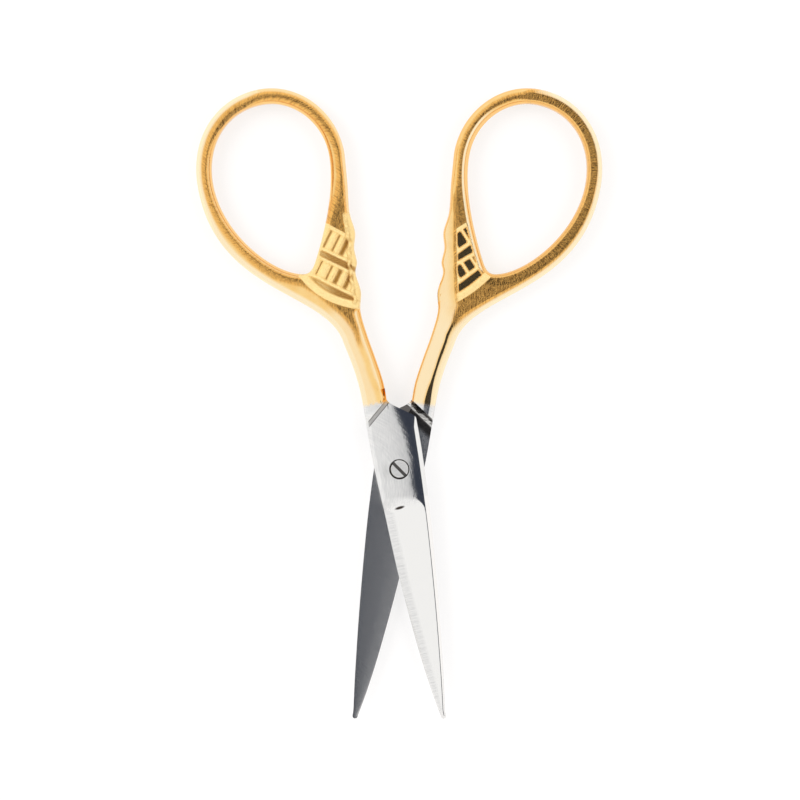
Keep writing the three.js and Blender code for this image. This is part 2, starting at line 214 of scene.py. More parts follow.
def inner_side(end, scallop):
    """From the joint's crotch up, with a scallop for each tier of the ornament, to the rim."""

    def inset(x, y):
        return (INNER_SIDE - x, y)

    def tier(x, y):
        return inset(x, OPENING_FOOT + y)

    places = [
        inset(0, CROTCH),
        inset(0.05, mix(CROTCH, NECK_HEIGHT, 0.66)),
        inset(0.55, mix(NECK_HEIGHT, THROAT_HEIGHT, 0.24)),
        inset(1.15, mix(NECK_HEIGHT, THROAT_HEIGHT, 0.62)),
        inset(1.05 + scallop, THROAT_HEIGHT),
        tier(1, -3.7),
        tier(0.85 + scallop, -1.1),
        tier(0.85, 0.4),
        tier(0.45 + scallop, 2.4),
        tier(0.4, 4.6),
        tier(0.25 + scallop, 7.4),
        tier(0.32, 11.2),
        end,
    ]
    return spline(places, 24)


def outer_side(widest):
    """From the bow's widest point down the flank and the waist to the joint."""
    shank = np.array([INNER_SIDE - NECK_WIDTH - 1.15, mix(NECK_HEIGHT, OPENING_FOOT, 0.31)])
    flank = bezier([widest, widest + (0, -15.6), shank + (-0.9, 7.9), shank], 120)
    neck = (-PLATE_LEFT, NECK_HEIGHT)
    waist = bezier([shank, shank + (0.45, -2), neck, (-PLATE_LEFT, CROTCH)], 40)
    return np.vstack([flank, waist[1:]])


# The blade's edge and its back, each as a curve through a few places.
EDGE_LINE = spline([
    (-PLATE_LEFT, 3),
    (-PLATE_LEFT + 0.08, 0.5),
    (-0.885 * PLATE_LEFT, -0.142 * BLADE_LENGTH),
    (-0.725 * PLATE_LEFT, -0.44 * BLADE_LENGTH),
    (-0.45 * PLATE_LEFT, -0.72 * BLADE_LENGTH),
    (-0.22 * PLATE_LEFT, -0.883 * BLADE_LENGTH),
    (-0.03 * PLATE_LEFT, -0.986 * BLADE_LENGTH),
], 30)[::-1]
BACK_LINE = spline([
    (PLATE_RIGHT, 6),
    (PLATE_RIGHT, 1),
    (0.9 * PLATE_RIGHT, -0.22 * BLADE_LENGTH),
    (0.65 * PLATE_RIGHT, -0.54 * BLADE_LENGTH),
    (0.37 * PLATE_RIGHT, -0.815 * BLADE_LENGTH),
    (0.18 * PLATE_RIGHT, -0.969 * BLADE_LENGTH),
], 30)[::-1]
TIP_CENTRE = -BLADE_LENGTH + TIP_RADIUS


def sides_at(y):
    """The blade's edge and back at a height, drawn together round the tip."""
    here = most(y, TIP_CENTRE)
    edge = np.interp(here, EDGE_LINE[:, 1], EDGE_LINE[:, 0])
    back = np.interp(here, BACK_LINE[:, 1], BACK_LINE[:, 0])
    down = np.clip((TIP_CENTRE - y) / TIP_RADIUS, 0, 1)
    narrow = np.sqrt(1 - down**2)
    middle = (edge + back) / 2
    return mix(middle, edge, narrow), mix(middle, back, narrow)


def free_edge():
    """From the spine's top over the plate's slanted free edge to the crotch."""

    def free(x):
        return np.array([x, FREE_EDGE_REACH / math.cos(FREE_EDGE_SLANT) - x * math.tan(FREE_EDGE_SLANT)])

    corner = free(PLATE_RIGHT)
    start = corner - (0, FREE_EDGE_CORNER)
    end = free(PLATE_RIGHT - FREE_EDGE_CORNER)
    rounding = bezier([start, mix(start, corner, 0.67), mix(end, corner, 0.67), end], 8)
    foot = free(INNER_SIDE + 1)
    turn = free(INNER_SIDE + 0.2)
    crotch = np.array([INNER_SIDE, CROTCH])
    return np.vstack([rounding, bezier([foot, mix(foot, turn, 0.67), mix(crotch, turn, 0.67), crotch], 8)])


def closed(line):
    return np.vstack([line, line[:1]])


def outline():
    """The lines that bound the form. The opening's line starts and ends in the middle of the ornament."""
    curves = opening_curves()
    over = beside(bezier(curves[4], 80), RIM_WIDTH)
    outer = beside(bezier(curves[0], 80), RIM_WIDTH)
    outer = np.vstack([outer[:-1], outer_side(outer[-1])])
    opening = evenly(np.vstack([bezier(curve, 60)[:-1] for curve in curves] + [[curves[0][0]]]), 0.13)[:-1]
    seam = np.argmin(np.hypot(*(opening - bezier(curves[3], 5)[1]).T))

    flat = np.linspace(CROTCH, TIP_CENTRE, 160)
    tip = TIP_CENTRE - TIP_RADIUS * np.sin(np.linspace(0, math.pi / 2, 16)[1:])
    down = np.concatenate([flat, tip])
    edge, _ = sides_at(down)
    rise = down[down <= 6][::-1]
    _, back = sides_at(rise)
    right = np.vstack([np.stack([back, rise], 1)[1:], free_edge()])
    return {
        "inner": evenly(np.vstack([inner_side(over[0], SCALLOP), over[1:]]), 0.13),
        "plain_inner": evenly(np.vstack([inner_side(over[0], 0.1), over[1:]]), 0.13),
        "outer": evenly(outer, 0.15),
        "opening": closed(np.roll(opening, -seam, axis=0)),
        "left": evenly(np.stack([edge, down], 1), 0.3),
        "right": evenly(right, 0.25),
    }


LINES = outline()
INNER_TAIL = np.array([(INNER_SIDE, CROTCH - 1.6), (INNER_SIDE, CROTCH - 0.01)])
OUTER_TAIL = np.array([(-PLATE_LEFT, CROTCH - 0.01), (-PLATE_LEFT, 4.0)])


def crest_line():
    """The outer face's crest: up the shank, under the collar, then round the bow close to its opening."""
    shank = [(-0.98, 9.76), (-1.15, 11.4), (-1.6, 13.5), (-1.85, 15.7), (-2.35, 17.9), (-2.7, 20.1),
             (-3.85, 22.3), (-5.5, 24.6), (-7, 26.5), (-8.4, 27.75)]
    crown, flank = opening_curves()[:2]
    bow = beside(np.vstack([bezier(crown, 60)[:-1], bezier(flank, 60)]), CREST_GAP)[::-1]
    return np.vstack([spline(shank, 6), bow[bow[:, 0] < -9.6]])


CREST = crest_line()


def project(points, line):
    """How far each point is from a line, how far along the line it lies, and 1 where it is at its left."""
    start = line[:-1]
    step = np.diff(line, axis=0)
    size = (step**2).sum(1)
    run = np.concatenate([[0], np.cumsum(np.sqrt(size))])
    found = []
    for block in np.array_split(points, max(1, len(points) // 3000)):
        offset = block[:, None] - start
        share = np.clip((offset * step).sum(2) / size, 0, 1)
        gap = ((offset - share[..., None] * step) ** 2).sum(2)
        best = gap.argmin(1)
        row = np.arange(len(block))
        across = step[best, 0] * offset[row, best, 1] - step[best, 1] * offset[row, best, 0]
        along = run[best] + share[row, best] * np.sqrt(size[best])
        found.append(np.stack([np.sqrt(gap[row, best]), along, np.where(across > 0, 1, -1)]))
    return np.concatenate(found, axis=1)


def nearest(points, line):
    return project(points, line)[0]


# Ornament across the throat of the bow. Bands and collar run from the opening's side to the inner side, as
# places from the inner side and above the opening's foot. Cells are sunk across a tier, each at a share of
# the way along it and with a width.

BAND_WIDTH = 0.46
OUTER_FACE = {
    "bands": [
        ((-3.75, 5.7), (-1.2, 3.7)),
        ((-5.15, 3.0), (-1.75, 0.6)),
        ((-5.65, 1.7), (-1.8, -1.05)),
        ((-6.7, -0.65), (-1.75, -4.25)),
    ],
    "collar": ((-8.5, -0.1), (-6.6, -3.9), (-1.8, -5.5)),
    "lean": math.radians(36),
    "upper": ((0.05, 0.3), (0.4, 0.24), (0.76, 0.62)),
    "lower": ((0.01, 0.14), (0.295, 0.22), (0.535, 0.6), (0.82, 0.55)),
}
INNER_FACE = {
    "bands": [
        ((-3.6, 6.25), (-1.2, 4.05)),
        ((-4.6, 4.0), (-1.85, 1.2)),
        ((-5.3, 2.45), (-1.75, -0.5)),
        ((-6.1, 0.65), (-1.6, -4.1)),
    ],
    "collar": ((-7.4, -0.3), (-4.85, -3.75), (-1.8, -5.4)),
    "lean": math.radians(42),
    "upper": ((0.06, 0.95), (0.5, 1.5)),
    "lower": ((-0.03, 1.25), (0.24, 1.1), (0.51, 1.15), (0.72, 0.3)),
}


def band_point(place):
    return np.array([INNER_SIDE + place[0], OPENING_FOOT + place[1]])


def band_ends(face, index):
    return [band_point(place) for place in face["bands"][index]]


def collar_line(face):
    a, b, c = map(band_point, face["collar"])
    return bezier([a, mix(a, b, 2 / 3), mix(c, b, 2 / 3), c], 24)


def left_of(points, start, end):
    """How far points lie at the left of a straight line."""
    along = (end - start) / np.linalg.norm(end - start)
    return (points - start) @ np.array([-along[1], along[0]])


def half_round(distance, width):
    """A rounded rib's height, as a share, at a distance from its middle."""
    return np.sqrt(np.clip(1 - (2 * distance / width) ** 2, 0, 1))


def softly_least(*sizes):
    """The least of several sizes, rounded where they meet."""
    sharp = 16.0
    return -np.log(sum(np.exp(-sharp * np.clip(size, -2, 2)) for size in sizes)) / sharp


def cells(points, face, upper, lower, name):
    """How far inside one of a tier's cells each point lies."""
    a, b = band_ends(face, lower)
    d, c = band_ends(face, upper)
    edge = BAND_WIDTH / 2
    between = [left_of(points, a, b) - edge, -left_of(points, d, c) - edge]
    across = np.array([math.cos(face["lean"]), -math.sin(face["lean"])])
    left = (a + d) / 2
    right = (b + c) / 2

    def cell(share, width):
        away = np.abs((points - mix(left, right, share)) @ across)
        return softly_least(width / 2 - away, *between)

    return most(*(cell(*place) for place in face[name]))


def tiers(points, face):
    """How far inside the cells of both tiers each point lies."""
    return most(cells(points, face, 0, 1, "upper"), cells(points, face, 2, 3, "lower"))


def band_ribs(points, face, width):
    ends = [np.array(band_ends(face, index)) for index in range(4)]
    return most(*(half_round(nearest(points, line), width) for line in ends))


def strip_and_groove(points, face, rise, edge, *limits):
    """How far inside the strip between the tiers, and the groove above the collar, each point lies."""
    over = left_of(points, *band_ends(face, 2)) - edge
    under = -left_of(points, *band_ends(face, 1)) - edge
    under_tiers = -left_of(points, *band_ends(face, 3)) - edge
    return softly_least(over, under, *limits), softly_least(rise, under_tiers, *limits)


def above_collar(points, face):
    """How far above the middle of the collar each point lies."""
    distance, _, side = project(points, collar_line(face))
    return side * distance


def ornament_zone(points, face, rise, over):
    """1 from the collar up to the top band, which the zone passes by a distance, and 0 elsewhere."""
    under_top = over - left_of(points, *band_ends(face, 0))
    zone = smooth(rise, -0.62, -0.45) * smooth(under_top, -0.1, 0.1)
    return zone * smooth(points[:, 0], -9.7, -9.2)


def outer_ornament(points, near):
    """Broad reeds between raised bands, with sunk cells: the height they add, where they are cast, and the
    painted shade in their cells and grooves.
    """
    face = OUTER_FACE
    y = points[:, 1]
    from_collar = above_collar(points, face)
    here = ornament_zone(points, face, from_collar, 0.35)
    inside = tiers(points, face)
    round_edge = smooth(inside, -0.52, 0.05) * here
    sunk = smooth(inside, -0.05, 0.07) * here
    ribs = band_ribs(points, face, 0.52)
    collar = half_round(from_collar, 1.0)
    strip, groove = strip_and_groove(points, face, from_collar - 0.45, 0.2)
    hollow = most(smooth(strip, 0, 0.3), smooth(groove, 0, 0.35)) * here
    hollow = hollow * smooth(near.inner, 0.5, 0.9) * smooth(near.opening, 0.1, 0.5)
    bead_zone = smooth(y, 23.2, 23.7) * within(y, 35.5, 36.5)
    wave = 0.12 * np.sin(y * 2 * math.pi / 1.9)
    bead = half_round(near.plain - 1.02 - wave, 0.5) * bead_zone
    lozenge = 0.62 + 0.38 * np.cos(y * 2 * math.pi / 1.27)
    rise = 0.2 * ribs * here + 0.2 * collar + 0.24 * bead * lozenge
    by_beads = bead_zone * (near.plain < 1.35)
    cast = np.clip(most(here, collar > 0, by_beads), 0, 1)
    height = rise - 0.2 * most(sunk, 0.55 * hollow) * (1 - bead)
    height = height - 0.26 * most(round_edge, hollow) * (1 - bead)
    # Painted shade: the cells, the hollows, the middle of the strip and groove between the tiers, and the
    # rim beside the beads are darkened.
    painted_recess_shade = smooth(most(strip, groove), 0, 0.4) * smooth(points[:, 0], -6.2, -4)
    dark = most(smooth(inside, -0.1, 0.26), mix(0.35 * hollow, 0.8, painted_recess_shade)) * here
    dark = most(dark, 0.25 * by_beads * smooth(near.plain, 0.6, 0.8))
    return height, cast, dark * (1 - bead * lozenge)


def inner_ornament(points, near):
    """Thin raised bands and pillars between flat sunk cells. The bands run on faintly over the facet."""
    face = INNER_FACE
    from_collar = above_collar(points, face)
    here = ornament_zone(points, face, from_collar, 0.3)
    facet_gap = near.plain - inner_facet(points[:, 1])
    line_gap = near.opening - 0.95
    room = softly_least(facet_gap - 0.08, line_gap)
    sunk = softly_least(tiers(points, face), room)
    strip, groove = strip_and_groove(points, face, from_collar - 0.5, 0.22, room)
    inside = most(sunk, strip, groove)
    sunk = smooth(inside, -0.04, 0.06)
    rounding = 0.1 * smooth(inside, -0.24, 0.02) * here
    collar = half_round(from_collar, 1.05) * smooth(near.opening, 0.3, 0.7)
    faint = 0.09 * band_ribs(points, face, 0.4) * smooth(-facet_gap, -0.1, 0.3)
    raised = np.clip(here * smooth(softly_least(facet_gap, line_gap + 0.05), -0.1, 0.1) * (1 - sunk), 0, 1)
    raised = most(raised, smooth(collar, 0.0, 0.4) * smooth(facet_gap, -0.5, 0.2))
    # The third value, the sunk cells, is painted shade that darkens them.
    return 0.16 * collar - 0.12 * sunk * here - rounding + faint, raised, sunk * here


# Heights of the two faces, each with its tones: painted orange shade, painted highlight, cast, sunk
# (painted shade in the ornament's hollows) and brushed


def fall(distance, width, crisp):
    """A rounded shoulder's fall, as a share. A crisp one starts at a slope."""
    short = np.clip(1 - distance / width, 0, 1)
    return crisp * short + (1 - crisp) * (1 - np.sqrt(1 - short**2))


def handle_fields(points):
    """Distances from the lines that shape the handle, and the way round the opening."""
    opening, arc, _ = project(points, LINES["opening"])
    crest, _, side = project(points, CREST)
    return SimpleNamespace(
        inner=nearest(points, np.vstack([INNER_TAIL, LINES["inner"]])),
        outer=nearest(points, np.vstack([LINES["outer"], OUTER_TAIL])),
        plain=nearest(points, np.vstack([INNER_TAIL, LINES["plain_inner"]])),
        opening=opening,
        arc=arc,
        crest=crest * side,
    )


def outer_ridge(y):
    """From the inner silhouette to where the outer face's bright inner facet starts."""
    return stations(y, (CROTCH, 0.9), (11.4, 1.0), (13.5, 1.3), (15.7, 1.15), (18, 1.25), (20.1, 1.2),
                    (22.3, 1.55))


def inner_facet(y):
    """Width of the tilted facet beside the inner silhouette on the inner face."""
    return stations(y, (CROTCH, 1.75), (12.9, 2.05), (15, 2.05), (17.2, 1.95), (19.5, 2.0), (21.4, 2.6),
                    (22.8, 2.85), (23.7, 3.15), (24.9, 2.9), (28.6, 2.15), (31, 2.08), (33.5, 1.8),
                    (35.8, 1.5), (38, 1.0), (41, 0.8), (46, 0.65))


def rim_dome(near, shift):
    """How far the rim's land falls away from its top, which is shifted towards the silhouette."""
    side = np.minimum(near.inner, near.outer)
    share = (near.opening - side) / most(side + near.opening, 0.1)
    return 0.36 * (share - shift) ** 2


def outer_part(x, y):
    """1 where the outer silhouette's painted highlight reaches, and 0 past the bow's crown."""
    return 1 - smooth(x, -13, -8) * smooth(y, 38, 44)


def handle_outer(points, near):
    x, y = points.T
    high = smooth(y, 36, 42)
    right = smooth(x + 3 * high, -9.5, -6.5)
    outward = most(0, near.crest)
    bent = np.minimum(outward, 1.5)
    slope = stations(y, (CROTCH, 0.25), (22, 0.25), (29, 0.02))
    bend = stations(y, (22, 0), (29, 0.1), (34, 0.2))
    drop = slope * outward + bend * bent * (2 * outward - bent)
    dome = rim_dome(near, 0.3 * within(y, 44, 50))
    height = LAND - mix(drop, dome, high * right)
    height = height - 0.42 * most(0, outer_ridge(y) - near.plain) * within(y, 22.1, 23)
    above = smooth(y, 34.5, 36.5) * within(y, 44, 47)
    height = height - 0.42 * most(0, 0.68 - near.inner) * above
    crease = 1 - right
    chamfer = stations(y, (46.5, 0.45), (50, 0.17))
    height = height - chamfer * most(0, OUTER_CREASE - near.opening) * crease
    land = smooth(height, LAND - 0.2, LAND - 0.05)
    rise, cast, sunk = outer_ornament(points, near)
    height = height + rise

    inner_width = stations(y, (11, 0.85), (14, 0.52), (44, 0.5), (47, 0.72))
    outer_width = stations(y, (CROTCH, 0.6), (12, 0.95), (24, 1.05), (32, 0.9), (38, 0.72))
    right_width = stations(y, (31, 0.42), (36, 0.7), (39, 0.9), (46, 0.9), (50, 0.62))
    left_width = stations(y, (48, 0.52), (50.5, 0.26))
    crisp = 0.22 * smooth(y, 30, 36)
    share = most(
        fall(near.inner, inner_width, crisp),
        fall(near.outer, outer_width, crisp),
        fall(near.opening, mix(left_width, right_width, right), 0.12),
    )
    # Painted shade: a deeper orange gold on the walls beside the opening and along the inner silhouette,
    # where they face the rest of the form.
    low = within(y, 22, 24)
    painted_orange_shade = most(
        0.8 * within(near.opening, 0.35, 0.6) * (1 - 0.6 * right),
        within(near.inner, 0.45, 0.62) * mix(0.35, 1, low),
    )
    # Painted highlight: paler gold along the outer silhouette, over the low shank, beside the inner
    # silhouette and at the opening's crease.
    painted_highlight = most(
        within(near.outer, 0.55, 1.0) * outer_part(x, y),
        0.6 * low,
        0.8 * within(near.inner, 0.7, 0.95),
        within(near.opening, 0.7, 0.8) * crease * within(y, 46, 49),
    ) * (1 - 0.8 * painted_orange_shade)
    brushed = land * smooth(y, 17, 19) * (1 - cast)
    return mix(height, EDGE_HEIGHT, share), np.stack([painted_orange_shade, painted_highlight * (1 - land), cast, sunk, brushed], 1)


def handle_inner(points, near):
    x, y = points.T
    right = smooth(x, -9.5, -7.5)
    height = LAND - rim_dome(near, 0) * right * smooth(y, 38, 41)
    facet = most(0, inner_facet(y) - near.plain)
    tilt = stations(y, (20, 0.27), (25, 0.1), (36, 0.12))
    curl = stations(y, (20, 0), (25, 0.09), (36, 0.07))
    height = height - (tilt * facet + curl * facet**2) * within(y, 43, 47)
    crease = right * within(y, 49, 52) * smooth(y, 28.6, 29.4)
    height = height - 0.4 * most(0, INNER_CREASE - near.opening) * crease
    land = smooth(height, LAND - 0.1, LAND - 0.03)
    rise, raised, sunk = inner_ornament(points, near)
    height = height + rise

    inner_width = stations(y, (34, 0.28), (40, 0.4), (47, 0.6))
    outer_width = stations(y, (CROTCH, 0.75), (12.9, 1.0), (17.2, 1.1), (22, 1.45), (24, 1.1), (28, 0.95),
                           (35, 0.9), (50, 0.62))
    share = most(
        fall(near.inner, inner_width, 0.2),
        fall(near.outer, outer_width, 0.3),
        fall(near.opening, 0.52, 0.2),
    )
    # Painted shade: a deeper orange gold beside the opening and along the inner silhouette.
    painted_orange_shade = most(0.85 * within(near.opening, 0.42, 0.6), within(near.inner, 0.2, 0.32))
    low = within(y, 20, 25)
    # Painted highlight: paler gold along the outer silhouette, over the tilted facet and at the opening's
    # crease.
    painted_highlight = most(
        within(near.outer, 0.45, mix(0.8, 1.3, low)) * outer_part(x, y),
        mix(0.6 * smooth(facet, 0.3, 1.8), 0.85 * smooth(facet, 0.02, 0.3), low),
        within(near.opening, 0.78, 0.86) * crease,
    ) * (1 - 0.8 * painted_orange_shade)
    brushed = land * smooth(y, 19, 23) * (1 - raised) * (1 - sunk)
    return mix(height, EDGE_HEIGHT, share), np.stack([painted_orange_shade, painted_highlight, raised, sunk, brushed], 1)


def blade_sizes(y):
    ground = smooth(-y, GRIND_START, GRIND_START + GRIND_RUN)
    along = np.clip((-y - GRIND_START) / (BLADE_LENGTH - GRIND_START), 0, 1)
    return ground, mix(PLATE_THICKNESS, TIP_THICKNESS, along), mix(1, 0.4, along)


def bevel_places(y):
    """Across plate or blade: the edge, the ends of left bevel, face and roll, and the back."""
    ground, _, narrow = blade_sizes(y)
    edge, back = sides_at(y)
    limit = 0.3 * (back - edge)
    bevel = np.minimum(mix(LEFT_BEVEL[0], CUTTING_BEVEL, ground) * narrow, limit)
    start = stations(y, (3, 1), (5.4, 0.88), (7.0, 0.2))
    back_bevel = np.minimum(BACK_BEVEL[0] * narrow * start, limit)
    roll = np.minimum(mix(ROLL[0] + 0.25 * np.exp(-((y + 2.9) / 1.3) ** 2), 0.1, ground), limit)
    return edge, edge + bevel, back - back_bevel - roll, back - back_bevel, back


def plate_outer(points):
    x, y = points.T
    ground, spine, _ = blade_sizes(y)
    edge, bevel, roll, back_bevel, back = bevel_places(y)
    foot = mix(PLATE_THICKNESS, np.minimum(EDGE_THICKNESS, 0.8 * spine), ground)
    rim = mix(PLATE_THICKNESS - LEFT_BEVEL[1], EDGE_LAND, ground)
    drop = mix(ROLL[1], 0.02, ground)

    def share(start, end):
        return np.clip((x - start) / most(end - start, 1e-6), 0, 1)

    height = mix(rim, foot, share(edge, bevel)) + (spine - foot) * share(bevel, roll)
    height = height - drop * share(roll, back_bevel) ** 2
    height = height - 0.028 * (1 - ground) * most(0, 0.8 - x) ** 1.8
    chamfer = mix(BACK_BEVEL[1], 0.45 * spine, ground)
    chamfer = chamfer * np.minimum(1, (back - back_bevel) / BACK_BEVEL[0] + ground)
    return BASE + height - chamfer * share(back_bevel, back)


def satin_reach(points):
    """How far inside the satin part of the plate's outer face each point lies."""
    x, y = points.T
    boundary = stations(y, (-5.9, 2.1), (-3.95, 1.64), (-2.5, 1.53), (1, 1.9), (4.4, 1.8), (8, 0.9))
    return np.clip(np.minimum(boundary - x, y + 4.6 + 0.08 * x * x), -1, 1)


def from_pivot(points, slant):
    """How far each point lies above a slanted line through the pivot."""
    return points[:, 1] * math.cos(slant) - points[:, 0] * math.sin(slant)


def plate_inner(points):
    x, y = points.T
    ground, _, narrow = blade_sizes(y)
    edge, back = sides_at(y)
    share = np.clip((x - edge) / (back - edge), 0, 1)
    hollow = 4 * HOLLOW_DEPTH * ground * narrow * share * (1 - share)
    away = from_pivot(points, -FREE_EDGE_SLANT) - (FREE_EDGE_REACH - RELIEF_WIDTH)
    return BASE + hollow + RELIEF_SLOPE * most(0, away)


def cove(points):
    """The lower limit that the hollow cove sets under the shank, flat up to its foot."""
    run = np.clip((from_pivot(points, LAP_SLANT) - COVE_HEAD) / COVE_RUN + 1, 0, 1)
    height = mix(-LAND, BASE, np.sqrt(1 - run**2))
    return np.where(run < 1, height, -2 * LAND)


def outer_face(points, on_handle, near):
    handle = np.full(len(points), -9.0)
    tones = np.zeros((len(points), 5))
    there = points[on_handle]
    handle[on_handle], tones[on_handle] = handle_outer(there, near)
    knot = np.hypot(there[:, 0] + 0.75, there[:, 1] - 9.95)
    handle[on_handle] += 0.04 * np.exp(-((knot / 0.32) ** 2))
    slope = (PLATE_TOP - LAND) / STEP_WIDTH
    step = PLATE_TOP - slope * (from_pivot(points, STEP_SLANT) - (STEP_REACH - STEP_WIDTH))
    return most(handle, np.minimum(plate_outer(points), step)), tones


def inner_face(points, on_handle, near):
    height = plate_inner(points)
    tones = np.zeros((len(points), 5))
    there = points[on_handle]
    handle, tones[on_handle] = handle_inner(there, near)
    handle = most(-handle, cove(there))
    height[on_handle] = np.minimum(height[on_handle], handle)
    return height, tones


# Meshing of a relief

# Distances from a silhouette at which rows of points lie
RING_ROWS = (0.004, 0.016, 0.04, 0.08, 0.13, 0.19, 0.26, 0.33, 0.4, 0.47, 0.54, 0.61, 0.68, 0.76, 0.84,
             0.94, 1.05)


def inside_loops(points, loops):
    """Which points an odd number of loops go round."""
    odd = np.zeros(len(points), bool)
    x, y = points.T
    for loop in loops:
        for (ax, ay), (bx, by) in zip(loop, np.roll(loop, -1, axis=0)):
            crosses = (ay > y) != (by > y)
            if ay != by:
                odd ^= crosses & (x < ax + (y - ay) * (bx - ax) / (by - ay))
    return odd


def lattice(low, high, spacing):
    """A field of evenly spread points in staggered rows."""
    rows = np.arange(low[1], high[1], spacing * math.sqrt(0.75))
    columns = np.arange(low[0], high[0], spacing)
    field = []
    for i, y in enumerate(rows):
        field.append(np.stack([columns + (i % 2) * spacing / 2, np.full(len(columns), y)], 1))
    return np.vstack(field)


def fill_points(zones, loops, fixed):
    """Points in the zones that lie inside the outline and clear of the points already there."""
    tree = kdtree.KDTree(len(fixed))
    for i, (x, y) in enumerate(fixed):
        tree.insert((x, y, 0), i)
    tree.balance()
    kept = []
    for low, high, spacing in zones:
        field = lattice(low, high, spacing)
        field = field[inside_loops(field, loops)]
        kept += [point for point in field if tree.find((*point, 0))[2] > 0.62 * spacing]
    return np.array(kept)


class Plan:
    """An outline divided into triangles, with loops round it and creases in it."""

    def __init__(self, loops, creases, rows, zones):
        points = []
        edges = []
        for line, is_loop in [(loop, True) for loop in loops] + [(crease, False) for crease in creases]:
            first = len(points)
            points += list(line)
            edges += [(i, i + 1) for i in range(first, len(points) - 1)]
            if is_loop:
                edges.append((len(points) - 1, first))
        fixed = np.vstack([np.array(points)] + rows)
        fixed = np.vstack([fixed, fill_points(zones, loops, fixed)])
        found = geometry.delaunay_2d_cdt([Vector(point) for point in fixed], edges, [], 0, 1e-5)
        plan = np.array(found[0])
        triangles = np.array(found[2])
        triangles = triangles[inside_loops(plan[triangles].mean(axis=1), loops)]
        used, triangles = np.unique(triangles, return_inverse=True)
        self.triangles = triangles.reshape(-1, 3)
        self.points = plan[used]
        place = {old: new for new, old in enumerate(used)}
        first_crease = sum(len(loop) for loop in loops)
        self.sharp = set()
        for (a, b), origins in zip(found[1], found[4]):
            if any(origin >= first_crease for origin in origins) and a in place and b in place:
                self.sharp.add(tuple(sorted((place[a], place[b]))))

    def skin(self, name, points, top, bottom):
        """A closed mesh over the plan, with its upper and lower surface given as heights."""
        triangles = self.triangles
        sides = np.vstack([triangles[:, [0, 1]], triangles[:, [1, 2]], triangles[:, [2, 0]]])
        both = {tuple(side) for side in sides.tolist()}
        count = len(points)
        walls = [(b, a, a + count, b + count) for a, b in both if (b, a) not in both]
        faces = triangles.tolist() + (triangles[:, ::-1] + count).tolist() + walls
        verts = np.vstack([np.column_stack([points, top]), np.column_stack([points, bottom])])
        mesh = bpy.data.meshes.new(name)
        mesh.from_pydata(verts.tolist(), [], faces)
        mesh.validate()
        add_attribute(mesh, "form", *verts.T)
        mesh.shade_smooth()
        mesh.set_sharp_from_angle(angle=math.radians(32))
        flags = mesh.attributes["sharp_edge"].data
        for edge in mesh.edges:
            a, b = sorted(edge.vertices)
            if (a, b) in self.sharp or (a - count, b - count) in self.sharp:
                flags[edge.index].value = True
        return mesh


def add_attribute(mesh, name, *columns):
    """Keeps three numbers for each point of a mesh, for the materials."""
    attribute = mesh.attributes.new(name, "FLOAT_VECTOR", "POINT")
    attribute.data.foreach_set("vector", np.stack(columns, 1).astype(np.float32).ravel())


def circle(radius, steps):
    turn = np.linspace(0, 2 * math.pi, steps, endpoint=False)
    return radius * np.stack([np.cos(turn), np.sin(turn)], 1)


def across_joint(reach, slant, left, right, spacing):
    """Points along a line that crosses the joint at a slant."""
    x = np.arange(left, right, spacing)
    return np.stack([x, reach / math.cos(slant) + x * math.tan(slant)], 1)


def half_creases():
    y = np.arange(CROTCH - 0.1, TIP_CENTRE, -0.25)
    _, bevel, roll, back_bevel, _ = bevel_places(y)
    inner = LINES["plain_inner"]
    inner = inner[: len(inner) // 2]
    shank = inner[inner[:, 1] < 22.2]
    throat = inner[inner[:, 1] < 37.5]
    wedge = (CREST[:, 0] > -3.9) & (CREST[:, 1] > 20.6) & (CREST[:, 1] < 22.4)
    return [
        np.stack([bevel, y], 1)[y < 6.3],
        np.stack([back_bevel, y], 1)[y < 7.0],
        np.stack([roll, y], 1)[y < -6.0],
        across_joint(STEP_REACH - STEP_WIDTH, STEP_SLANT, -PLATE_LEFT + 0.01, INNER_SIDE, 0.15),
        across_joint(STEP_REACH, STEP_SLANT, -PLATE_LEFT + 0.3, INNER_SIDE - 0.1, 0.15),
        across_joint(COVE_HEAD, LAP_SLANT, -PLATE_LEFT + 0.01, INNER_SIDE - 0.05, 0.15),
        beside(shank, -outer_ridge(shank[:, 1])),
        beside(throat, -inner_facet(throat[:, 1])),
        CREST[wedge],
    ]


def rows_beside(name):
    line = LINES[name]
    if name == "opening":
        line = line[:-1]
    towards = 1 if name == "opening" else -1
    rows = []
    for distance in RING_ROWS:
        row = beside(line, towards * distance)
        gap = nearest(row, LINES[name])
        row = row[gap > 0.93 * distance]
        rows.append(row[::2] if distance > 0.3 else row)
    return np.vstack(rows)


def cove_rows():
    turns = np.linspace(0, math.pi / 2, 12)
    return np.vstack([
        across_joint(COVE_HEAD - COVE_RUN + COVE_RUN * math.sin(turn), LAP_SLANT, -PLATE_LEFT + 0.02,
                     INNER_SIDE - 0.02, 0.14)
        for turn in turns[:-1]
    ])


def half_plan():
    rim = np.vstack([
        LINES["inner"],
        LINES["outer"][1:],
        LINES["left"][1:],
        LINES["right"][1:-1],
    ])
    loops = [rim, LINES["opening"][:-1], circle(BORE_RADIUS, 72)]
    wall = np.array([(INNER_SIDE, CROTCH - 1.6), (INNER_SIDE, CROTCH - 0.03)])
    creases = half_creases() + [wall, wall + (2 * TINY, 0)]
    creases += [closed(circle(SEAT_RADIUS - TINY, 72)), closed(circle(SEAT_RADIUS + TINY, 72))]
    rows = [rows_beside("inner"), rows_beside("outer"), rows_beside("opening"), cove_rows()]
    zones = [
        ((-4, -36), (4, -6), 0.34),
        ((-4, -6), (4, -3), 0.2),
        ((-4, -3), (4, 9), 0.24),
        ((-7, 9), (0, 22), 0.16),
        ((-9, 22), (0, 36), 0.07),
        ((-22, 22), (-9, 36), 0.22),
        ((-22, 36), (0, 60), 0.22),
    ]
    return Plan(loops, creases, rows, zones)


